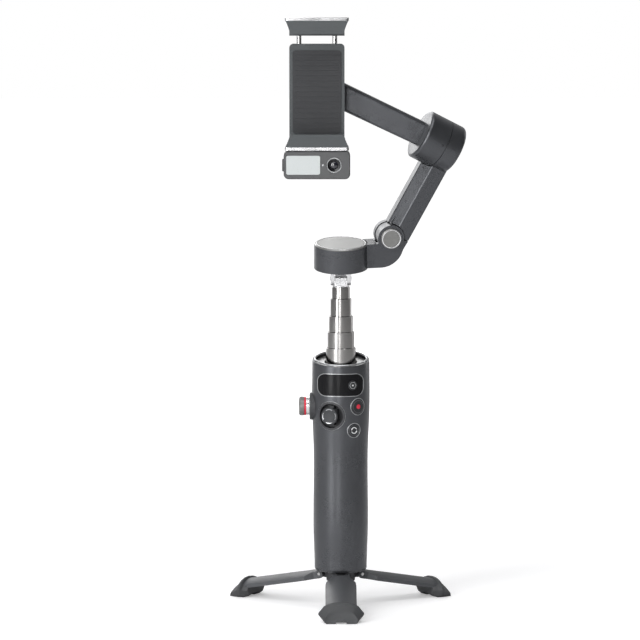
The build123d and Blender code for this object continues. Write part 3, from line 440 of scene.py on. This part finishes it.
grip = {"plainSide": 66.0, "clearOf": 40.0}  # azimuth away from openings, and a reach outside it
gripTree = surfaceTree("handle_front_shell")


def gripRadius(height):
    turn = radians(grip["plainSide"])
    outward = Vector((sin(turn), -cos(turn), 0))
    hit, _, _, _ = gripTree.ray_cast(outward * grip["clearOf"] * mm + up * height, -outward)
    return hypot(hit.x, hit.y)


def gripSeat(outward, height):
    outward = Vector((outward[0], outward[1], 0)).normalized()
    return seatAt(up * height, outward, up.cross(outward))


def wrapOnGrip(bm, seat):
    for vert in bm.verts:  # local height becomes height over the round grip
        place = seat @ Vector((vert.co.x, vert.co.y, 0))
        radius = gripRadius(place.z)
        depth = sqrt(max(radius ** 2 - vert.co.x ** 2, 0))
        vert.co = place + (seat.to_3x3() @ up) * (depth + vert.co.z)


# Joystick: ring on the grip, ridged thumb cap, four bright dashes
joystick = {
    "ring": (8.65, 9.15, -0.4, 0.22, 0.12),
    "stalk": [(0, -1.6), (1.5, -1.6), (1.5, 3.5), (3.6, 4.0)],
    "capRadius": 5.4,
    "capRim": [(-0.35, 4.3), (0, 4.7), (0, 5.6), (-0.2, 6.05), (-0.6, 6.25), (-1.0, 6.2)],
    "capDish": [(3.6, 5.75), (2.4, 5.5), (1.2, 5.38), (0, 5.34)],
    "ridges": 48, "ridgesOutside": 5.0, "steepest": 0.2, "ridgeInset": 0.06, "ridgeDepth": 0.22,
    "dash": [(4.05, 5.75), (4.5, 5.75), (4.5, 6.28), (4.05, 6.12)],
    "dashCount": 4, "dashSweep": 56.0, "dashSteps": 14,
}


def makeJoystick():
    pivot = Vector(joints["joystick_pan"]["pos_m"])
    outward = Vector((pivot.x, pivot.y, 0)).normalized()
    seat = seatAt(pivot, outward, up.cross(outward))
    ring = spun(ringProfile(*joystick["ring"]), closed=True)
    wrapOnGrip(ring, gripSeat(outward, pivot.z))
    finishPiece("joystickRing", ring, None, "handle", "ringPaint")

    rim = fromRadius(joystick["capRadius"], joystick["capRim"])
    cap = spun(joystick["stalk"] + rim + joystick["capDish"], steps=joystick["ridges"] * 2)
    ridges = everyOtherSideFace(cap, joystick["steepest"], joystick["ridgesOutside"])
    bmesh.ops.inset_individual(cap, faces=ridges, thickness=joystick["ridgeInset"] * mm,
                               depth=joystick["ridgeDepth"] * mm)
    finishPiece("joystickThumbCap", cap, seat, "joystick_cap", "darkRubber",
                replaced=["joystick_cap"])

    for i in range(joystick["dashCount"]):
        dash = spun(joystick["dash"], steps=joystick["dashSteps"], closed=True,
                    sweep=joystick["dashSweep"])
        angle = 360 / joystick["dashCount"] * i - joystick["dashSweep"] / 2
        turn = Matrix.Rotation(radians(angle), 4, "Z")
        finishPiece("joystickDash%d" % (i + 1), dash, seat @ turn, "joystick_cap", "ringPaint")


makeJoystick()
print("joystick made")

# Push buttons: rings and rims as (inner, outer, low, high, soft edge), marks on top
buttons = {
    "record": {"node": "record_button", "joint": "record_press",
               "ring": (5.05, 5.4, -0.3, 0.16, 0.09), "rim": (3.75, 4.05, -0.2, 0.06, 0.05),
               "dot": 1.45},
    "switch": {"node": "switch_button", "joint": "switch_press",
               "ring": (4.35, 4.65, -0.3, 0.14, 0.09), "rim": (3.2, 3.4, -0.2, 0.06, 0.05),
               "arrows": (1.55, 2.05)},
    "mode": {"node": "mode_button", "joint": "mode_press", "hexagon": (1.95, 2.35)},
}
marks = {
    "dot": [(1, -0.2), (1, 0.08), (0.8, 0.17), (0.4, 0.22), (0, 0.24)],  # radius as a share
    "arrowHeight": (-0.1, 0.06), "arrowSteps": 20, "arrowSweep": 128.0, "arrowStart": 20.0,
    "headRadius": 0.72, "headDepth": 0.16, "headTurn": 136.0, "headLift": -0.02,
    "hexagonHeight": (-0.1, 0.04),
    "bead": [(0.55, -0.1), (0.55, 0.03), (0.4, 0.07), (0, 0.08)], "beadSteps": 32,
}


def flatBand(inner, outer, low, high):
    return [(inner, low), (outer, low), (outer, high), (inner, high)]


def buttonSeat(values):
    outward = -Vector(joints[values["joint"]]["axis"])
    seat = gripSeat(outward, middle(values["node"]).z)
    tree = surfaceTree(values["node"])
    hit, _, _, _ = tree.ray_cast(seat.translation + outward * grip["clearOf"] * mm, -outward)
    top = seat.copy()
    top.translation = hit
    return seat, top


def makeArrows(name, radii, top, body):
    angle = radians(marks["headTurn"])
    centre = sum(radii) / 2 * mm
    place = Vector((centre * cos(angle), centre * sin(angle), marks["headLift"] * mm))
    headSeat = Matrix.Translation(place) @ Matrix.Rotation(angle, 4, "Z")
    for i in range(2):
        arrow = spun(flatBand(*radii, *marks["arrowHeight"]), steps=marks["arrowSteps"],
                     closed=True, sweep=marks["arrowSweep"])
        head = bmesh.ops.create_cone(arrow, cap_ends=True, segments=3,
                                     radius1=marks["headRadius"] * mm,
                                     radius2=marks["headRadius"] * mm,
                                     depth=marks["headDepth"] * mm)["verts"]
        bmesh.ops.transform(arrow, verts=head, matrix=headSeat)
        turn = Matrix.Rotation(radians(180 * i + marks["arrowStart"]), 4, "Z")
        finishPiece(name + "Arrow%d" % (i + 1), arrow, top @ turn, body, "markPaint")


def makeButtons():
    for name, values in buttons.items():
        seat, top = buttonSeat(values)
        body = values["node"]
        if "ring" in values:
            ring = spun(ringProfile(*values["ring"]), closed=True)
            wrapOnGrip(ring, seat)
            finishPiece(name + "Ring", ring, None, "handle", "ringPaint")
        if "rim" in values:
            rim = spun(ringProfile(*values["rim"]), closed=True)
            finishPiece(name + "Rim", rim, top, body, "rimPaint")
        if "dot" in values:
            dot = spun([(share * values["dot"], height) for share, height in marks["dot"]])
            finishPiece(name + "Dot", dot, top, body, "redPaint")
        if "arrows" in values:
            makeArrows(name, values["arrows"], top, body)
        if "hexagon" in values:
            hexagon = spun(flatBand(*values["hexagon"], *marks["hexagonHeight"]), steps=6,
                           closed=True)
            finishPiece(name + "Hexagon", hexagon, top, body, "ringPaint", sharp=20)
            bead = spun(marks["bead"], steps=marks["beadSteps"])
            finishPiece(name + "Bead", bead, top, body, "markPaint")


makeButtons()
print("buttons made")

# Status window: fine bright line round the glass
window = {
    "size": (28.9, 14.3), "corner": 5.0, "cornerSegments": 10, "line": 0.38, "lift": 0.14,
    "thickness": 0.35, "longEdge": 2.0, "cuts": 23,  # long edges are cut up to bend round the grip
}


def makeWindowFrame():
    centre = middle("screen_window")
    width, height = window["size"]
    bm = bmesh.new()
    bmesh.ops.create_grid(bm, x_segments=1, y_segments=1, size=0.5)
    bmesh.ops.scale(bm, vec=(width * mm, height * mm, 1), verts=bm.verts)
    bmesh.ops.bevel(bm, geom=bm.verts[:], offset=window["corner"] * mm,
                    segments=window["cornerSegments"], profile=0.5, affect="VERTICES", material=-1)
    longEdges = [edge for edge in bm.edges if edge.calc_length() > window["longEdge"] * mm]
    bmesh.ops.subdivide_edges(bm, edges=longEdges, cuts=window["cuts"])
    rim = bmesh.ops.inset_individual(bm, faces=bm.faces[:], thickness=window["line"] * mm,
                                     use_even_offset=True)["faces"]
    glass = [face for face in bm.faces if face not in rim]
    bmesh.ops.delete(bm, geom=glass, context="FACES")
    bmesh.ops.solidify(bm, geom=bm.faces[:], thickness=window["thickness"] * mm)
    top = max(vert.co.z for vert in bm.verts)
    bmesh.ops.translate(bm, verts=bm.verts, vec=(centre.x, 0, window["lift"] * mm - top))
    wrapOnGrip(bm, gripSeat(front, centre.z))
    finishPiece("windowLine", bm, None, "handle", "ringPaint", sharp=40)


makeWindowFrame()
print("window framed")

# Side wheel: grey ribbed cap, red band, bright collar; heights run out along the stem
wheel = {
    "radius": 5.85, "bore": 2.08, "start": 19.2, "collarEnd": 21.7, "bandEnd": 22.8,
    "boreEnd": 24.2, "end": 26.2,
    "ribs": 44, "ribsWithin": 0.1, "steepest": 0.1, "ribInset": 0.05, "ribDepth": -0.16,
}


def makeWheel():
    seat = seatAt(up * middle("wheel_knob").z, -right, up)
    radius, bore = wheel["radius"], wheel["bore"]
    start, band, capStart, end = (wheel[name] for name in ("start", "collarEnd", "bandEnd", "end"))
    edge = fromRadius(radius, [(-0.5, start), (-0.15, start + 0.3), (-0.15, band - 0.12),
                               (-0.35, band)])
    collar = spun([(bore, start)] + edge + [(bore, band)], closed=True)
    finishPiece("wheelCollar", collar, seat, "wheel_knob", "brightTrim",
                replaced=["wheel_knob"])

    edge = fromRadius(radius, [(-0.2, band), (-0.08, band + 0.15), (-0.08, capStart - 0.15),
                               (-0.2, capStart)])
    ring = spun([(bore, band)] + edge + [(bore, capStart)], closed=True)
    finishPiece("wheelBand", ring, seat, "wheel_knob", "redPaint")

    edge = fromRadius(radius, [(-0.2, capStart), (0, capStart + 0.2), (0, end - 0.75),
                               (-0.5, end - 0.1), (-0.9, end), (-1.5, end), (-1.8, end - 0.25)])
    hollow = [(0, wheel["boreEnd"]), (bore, wheel["boreEnd"]), (bore, capStart)]
    cap = spun(hollow + edge + [(0, end - 0.25)], steps=wheel["ribs"] * 2)
    ribs = everyOtherSideFace(cap, wheel["steepest"], radius - wheel["ribsWithin"])
    bmesh.ops.inset_individual(cap, faces=ribs, thickness=wheel["ribInset"] * mm,
                               depth=wheel["ribDepth"] * mm)
    finishPiece("wheelCap", cap, seat, "wheel_knob", "capPaint")


makeWheel()
print("wheel made")

# Lens: bright bezel, stepped black funnel, domed glass, and a small light beside it
lens = {
    "bezel": (4.05, 4.6, -4.6, 0, 0.18),
    "funnel": [(0, -4.6), (4.05, -4.6), (4.05, -0.3), (3.75, -0.35), (3.6, -0.75), (3.3, -0.8),
               (3.15, -1.15), (2.8, -1.2), (2.6, -1.6), (0, -1.6)],
    "dome": [(2.35, -1.6), (2.35, -1.35), (2.1, -1.0), (1.6, -0.72), (1.0, -0.52), (0.5, -0.44),
             (0, -0.42)],
    "domeSteps": 64,
    "led": [(0.55, -0.2), (0.55, 0.02), (0.4, 0.05), (0.36, -0.05), (0, 0.0)],
    "ledSteps": 32, "ledSideways": 3.7,
}


def makeLens():
    centre = middle("lens_barrel")
    seat = seatAt(Vector((centre.x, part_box("lens_barrel")[0][1], centre.z)), front, right)
    bezel = spun(ringProfile(*lens["bezel"]), closed=True)
    finishPiece("lensBezel", bezel, seat, "clamp", "ringPaint")
    finishPiece("lensFunnel", spun(lens["funnel"]), seat, "clamp", "lensBlack",
                sharp=15, replaced=["lens_barrel"])
    dome = spun(lens["dome"], steps=lens["domeSteps"])
    finishPiece("lensDome", dome, seat, "clamp", "lensGlass", sharp=60)
    ledPlace = Vector((middle("module_body").x + lens["ledSideways"] * mm,
                       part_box("module_body")[0][1], centre.z))
    led = spun(lens["led"], steps=lens["ledSteps"])
    finishPiece("moduleLed", led, seatAt(ledPlace, front, right), "clamp", "ringPaint")


makeLens()
print("lens made")

# Bright rings with a painted highlight: real chamfers whose bright trim finish paints the light
# they catch, one on the pan motor's lid, one round the fold hinge's cap
ringSeats = {
    "panLidHighlightRing": {"joint": "pan", "height": 23.0, "inner": 15.1, "outer": 16.35, "drop": 0.75},
    "foldCapHighlightRing": {"joint": "arm_fold", "height": 9.3, "inner": 5.35, "outer": 5.95, "drop": 0.1},
}
ringShape = {"thickness": 0.3, "lift": 0.07}


def makeRings():
    for name, values in ringSeats.items():
        inner, outer, drop = values["inner"], values["outer"], values["drop"]
        under = values["height"] - ringShape["thickness"]
        top = values["height"] + ringShape["lift"]
        ring = spun([(inner, under), (outer, under - drop), (outer + 0.05, top - drop),
                     (outer - 0.2, top - drop * 0.6), (inner + 0.15, top), (inner, top - 0.05)],
                    closed=True)
        # painted highlight: the bright trim finish stands in for the light caught on the chamfer
        finishPiece(name, ring, jointSeat(values["joint"], right), "pan", "brightTrim",
                    sharp=50)


makeRings()
print("rings made")

# Screws and alignment holes, set on the surface that a ray from outside meets
screws = {  # along the limb and sideways along the tilt axis, from the tilt joint's place
    "armScrewUpper": {"body": "upper_arm", "node": "upper_arm", "radius": 0.95, "along": -17.2,
                      "sideways": 11.6, "side": 1},
    "armScrewLower": {"body": "upper_arm", "node": "upper_arm", "radius": 0.6, "along": -41.6,
                      "sideways": 11.6, "side": 1},
    "armBackScrewUpper": {"body": "upper_arm", "node": "upper_arm", "radius": 1.3, "along": -22.0,
                          "sideways": 17.0, "side": -1},
    "armBackScrewLower": {"body": "upper_arm", "node": "upper_arm", "radius": 1.3, "along": -58.0,
                          "sideways": 17.0, "side": -1},
    "rotorPinhole": {"body": "tilt", "node": "tilt_rotor", "radius": 0.7, "along": 1.5,
                     "sideways": 11.4, "side": 1},
}
backScrews = {  # centre across and up, in millimetres
    "clampScrew1": {"body": "clamp", "node": "clamp_body", "at": (-27.0, 347.0), "radius": 1.5},
    "clampScrew2": {"body": "clamp", "node": "clamp_body", "at": (-2.8, 347.0), "radius": 1.5},
    "clampScrew3": {"body": "clamp", "node": "clamp_body", "at": (-27.0, 303.0), "radius": 1.5},
    "clampScrew4": {"body": "clamp", "node": "clamp_body", "at": (-2.8, 303.0), "radius": 1.5},
    "linkScrew1": {"body": "tilt", "node": "link_arm", "at": (6.0, 316.5), "radius": 1.3},
    "linkScrew2": {"body": "tilt", "node": "link_arm", "at": (24.0, 307.7), "radius": 1.3},
    "gripScrew1": {"body": "handle", "node": "handle_rear_shell", "at": (0.0, 44.0), "radius": 1.6},
}
screwShape = {
    "profile": [(1, -0.3), (1, 0.03), (0.85, 0.08), (0.55, 0.08), (0.5, -0.12), (0, -0.12)],
    "steps": 36, "armReach": 60.0, "backReach": 100.0,  # how far out the rays start
}


def addScrew(name, values, seat):
    profile = [(share * values["radius"], height) for share, height in screwShape["profile"]]
    finishPiece(name, spun(profile, steps=screwShape["steps"]), seat, values["body"],
                "screwBlack")


def makeScrews():
    tiltPlace = Vector(joints["tilt"]["pos_m"])
    tiltAxis = Vector(joints["tilt"]["axis"]).normalized()
    foldAxis = Vector(joints["arm_fold"]["axis"]).normalized()
    limb = foldAxis.cross(tiltAxis).normalized()
    for name, values in screws.items():
        facing = foldAxis * values["side"]
        start = (tiltPlace + limb * values["along"] * mm + tiltAxis * values["sideways"] * mm
                 + facing * screwShape["armReach"] * mm)
        addScrew(name, values, seatOn(surfaceTree(values["node"]), start, -facing, limb))
    for name, values in backScrews.items():
        x, z = values["at"]
        start = (x * mm, screwShape["backReach"] * mm, z * mm)
        addScrew(name, values, seatOn(surfaceTree(values["node"]), start, front, right))


makeScrews()
print("screws made")

# Trigger: raised ribs across its back
triggerRibs = {
    "count": 6, "pitch": 2.5, "sweep": 27.0, "steps": 18, "proud": 0.7, "sunk": 0.3,
    "lift": 0.28, "half": 0.42, "softShare": 0.4,
}


def makeTriggerRibs():
    centre = middle("trigger").z
    half, lift = triggerRibs["half"], triggerRibs["lift"]
    crown = half * triggerRibs["softShare"]
    for i in range(triggerRibs["count"]):
        height = centre / mm + (i - (triggerRibs["count"] - 1) / 2) * triggerRibs["pitch"]
        base = gripRadius(height * mm) / mm + triggerRibs["proud"]
        inside = base - triggerRibs["sunk"]
        rib = spun([(inside, height - half), (base + lift * 0.5, height - half),
                    (base + lift, height - crown), (base + lift, height + crown),
                    (base + lift * 0.5, height + half), (inside, height + half)],
                   steps=triggerRibs["steps"], closed=True, sweep=triggerRibs["sweep"])
        turn = Matrix.Rotation(radians(90 - triggerRibs["sweep"] / 2), 4, "Z")
        finishPiece("triggerRib%d" % (i + 1), rib, turn, "trigger", "darkRubber")


makeTriggerRibs()
print("trigger ribbed")

# Motor lids: a shallow disc with a groove, on the closed ends of the tilt and roll motors
motorLids = {  # height along the joint's axis, or against it where sign is -1
    "rollLid": {"joint": "roll", "height": 18.0, "sign": -1, "radius": 10.6, "body": "tilt"},
    "tiltOuterLid": {"joint": "tilt", "height": 24.8, "sign": 1, "radius": 12.0,
                     "body": "upper_arm"},
    "tiltInnerLid": {"joint": "tilt", "height": 0.6, "sign": -1, "radius": 7.0, "body": "tilt"},
}
lidShape = {
    "edge": [(0, -0.3), (0, 0.04), (-0.3, 0.12), (-0.75, 0.12), (-0.9, 0.02), (-1.3, 0.02),
             (-1.5, 0.14)],
    "crownShare": 0.4, "crown": 0.16,
}


def makeMotorLids():
    for name, values in motorLids.items():
        radius, start = values["radius"], values["height"]
        edge = [(radius + step, start + height) for step, height in lidShape["edge"]]
        crown = start + lidShape["crown"]
        lid = spun(edge + [(radius * lidShape["crownShare"], crown), (0, crown)])
        finishPiece(name, lid, jointSeat(values["joint"], up, values["sign"]), values["body"],
                    "shellPaint", sharp=25)


makeMotorLids()
print("motor lids made")

# Clamp: rubber ribs on the lower jaw's shelf and on the back plate
jawRibs = {
    "shelfRibs": {"count": 5, "size": (34.0, 0.7, 0.3), "step": (0, 1.3, 0)},
    "plateRibs": {"count": 15, "size": (27.0, 0.25, 0.9), "step": (0, 0, 3.2)},
}
jawShape = {"shelfOut": 4.1, "shelfHeight": 291.5, "longEdge": 10.0, "soft": 0.1}


def makeJawRibs():
    centre = middle("clamp_pad")
    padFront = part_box("clamp_pad")[0][1]
    starts = {
        "shelfRibs": Vector((centre.x, padFront - jawShape["shelfOut"] * mm,
                             jawShape["shelfHeight"] * mm)),
        "plateRibs": Vector((centre.x, padFront, centre.z)),
    }
    for name, values in jawRibs.items():
        bm = bmesh.new()
        for i in range(values["count"]):
            verts = bmesh.ops.create_cube(bm, size=mm)["verts"]
            bmesh.ops.scale(bm, vec=values["size"], verts=verts)
            offset = (i - (values["count"] - 1) / 2) * mm
            bmesh.ops.translate(bm, vec=starts[name] + Vector(values["step"]) * offset,
                                verts=verts)
        long = [edge for edge in bm.edges
                if abs((edge.verts[0].co - edge.verts[1].co).x) > jawShape["longEdge"] * mm]
        bmesh.ops.bevel(bm, geom=long, offset=jawShape["soft"] * mm, segments=2, profile=0.5,
                        affect="EDGES", material=-1)
        finishPiece(name, bm, None, "clamp", "padRubber")


makeJawRibs()
print("jaw ribs made")

# Socket insert under the hub, with a turned thread
socket = {
    "outer": 4.4, "threads": 5, "pitch": 1.1,
    "lip": [(4.4, -0.08), (4.25, -0.14), (3.5, -0.14)],
    "thread": [(3.2, 0.1), (3.05, 0.4), (3.2, 0.75)],
}


def makeSocket():
    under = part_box("tripod_hub")[0][2] / mm
    profile = [(radius, under + height) for radius, height in socket["lip"]]
    for i in range(socket["threads"]):
        start = under + i * socket["pitch"]
        profile += [(radius, start + height) for radius, height in socket["thread"]]
    profile += [(socket["outer"], under + socket["threads"] * socket["pitch"])]
    finishPiece("socketInsert", spun(profile, closed=True), None, "handle", "pinSteel",
                sharp=20)


makeSocket()
print("socket made")

# Feet: rubber shoes, lofted along the leg from the block under it to the flange and the toe
shoe = {
    "notch": (3.3, 0.95), "soft": 0.55, "softSegments": 3, "hardFrom": 24.0, "soleHeight": 0.5,
    "arch": [(0.76, 0.52), (0.42, 0.87)],  # shares of the shoulder's width and of the rise from it
    "sections": [  # distance out, lean at the crest, half bottom edge, wing, shoulder, crest height
        (61.8, 0.0, (8.6, 2.2), (10.6, 4.6), (10.0, 6.8), 7.2),
        (65.4, 0.0, (10.0, 0.0), (12.4, 4.6), (10.3, 7.6), 8.6),
        (66.4, 0.0, (10.2, 0.0), (14.2, 5.3), (10.7, 9.7), 12.4),
        (68.2, 0.2, (10.3, 0.0), (14.4, 4.9), (10.4, 9.3), 12.3),
        (70.2, 1.6, (10.2, 0.0), (13.2, 4.3), (9.8, 8.3), 10.9),
        (75.9, 4.2, (9.0, 0.0), (10.4, 2.4), (7.9, 5.8), 7.6),
    ],
    "toeInset": 0.7, "toeDepth": -0.25,
    "weld": 0.01, "shortest": 0.005,
}


def shoeLoop(bm, reach, lean, bottom, wing, shoulder, crest):
    notch, ceiling = shoe["notch"]
    sole = bottom[1]
    rise = crest - shoulder[1]
    half = [(notch, max(ceiling, sole)), (notch, sole), bottom, wing, shoulder]
    half += [(shoulder[0] * across, shoulder[1] + rise * share) for across, share in shoe["arch"]]
    outline = half + [(0, crest)] + [(-x, y) for x, y in reversed(half)]
    verts = [bm.verts.new((x * mm, y * mm, (reach - lean * y / crest) * mm)) for x, y in outline]
    return [bm.edges.new((verts[i - 1], verts[i])) for i in range(len(verts))]


def shoeShape():
    bm = bmesh.new()
    loops = [shoeLoop(bm, *section) for section in shoe["sections"]]
    for first, second in zip(loops, loops[1:]):
        bmesh.ops.bridge_loops(bm, edges=first + second)
    bmesh.ops.holes_fill(bm, edges=loops[0] + loops[-1])
    bmesh.ops.remove_doubles(bm, verts=bm.verts, dist=shoe["weld"] * mm)
    bmesh.ops.recalc_face_normals(bm, faces=bm.faces)
    toe = max(bm.faces, key=lambda face: face.calc_center_median().z)
    hard = [edge for edge in bm.edges if len(edge.link_faces) == 2
            and edge.calc_face_angle() > radians(shoe["hardFrom"])
            and min(vert.co.y for vert in edge.verts) > shoe["soleHeight"] * mm
            and toe not in edge.link_faces]
    bmesh.ops.inset_individual(bm, faces=[toe], thickness=shoe["toeInset"] * mm,
                               depth=shoe["toeDepth"] * mm)
    bmesh.ops.bevel(bm, geom=hard, offset=shoe["soft"] * mm, segments=shoe["softSegments"],
                    profile=0.5, affect="EDGES", material=-1, clamp_overlap=True)
    bmesh.ops.remove_doubles(bm, verts=bm.verts, dist=shoe["weld"] * mm)
    bmesh.ops.dissolve_degenerate(bm, edges=bm.edges, dist=shoe["shortest"] * mm)
    return bm


def makeShoes():
    for i in (1, 2, 3):
        pin = Vector(joints["leg_%d_fold" % i]["pos_m"])
        outward = Vector((pin.x, pin.y, 0)).normalized()
        seat = seatAt((0, 0, 0), outward, up.cross(outward))
        finishPiece("shoe%d" % i, shoeShape(), seat, "leg_%d" % i, "footRubber",
                    sharp=38, replaced=["foot_%d" % i])


makeShoes()
print("shoes made")
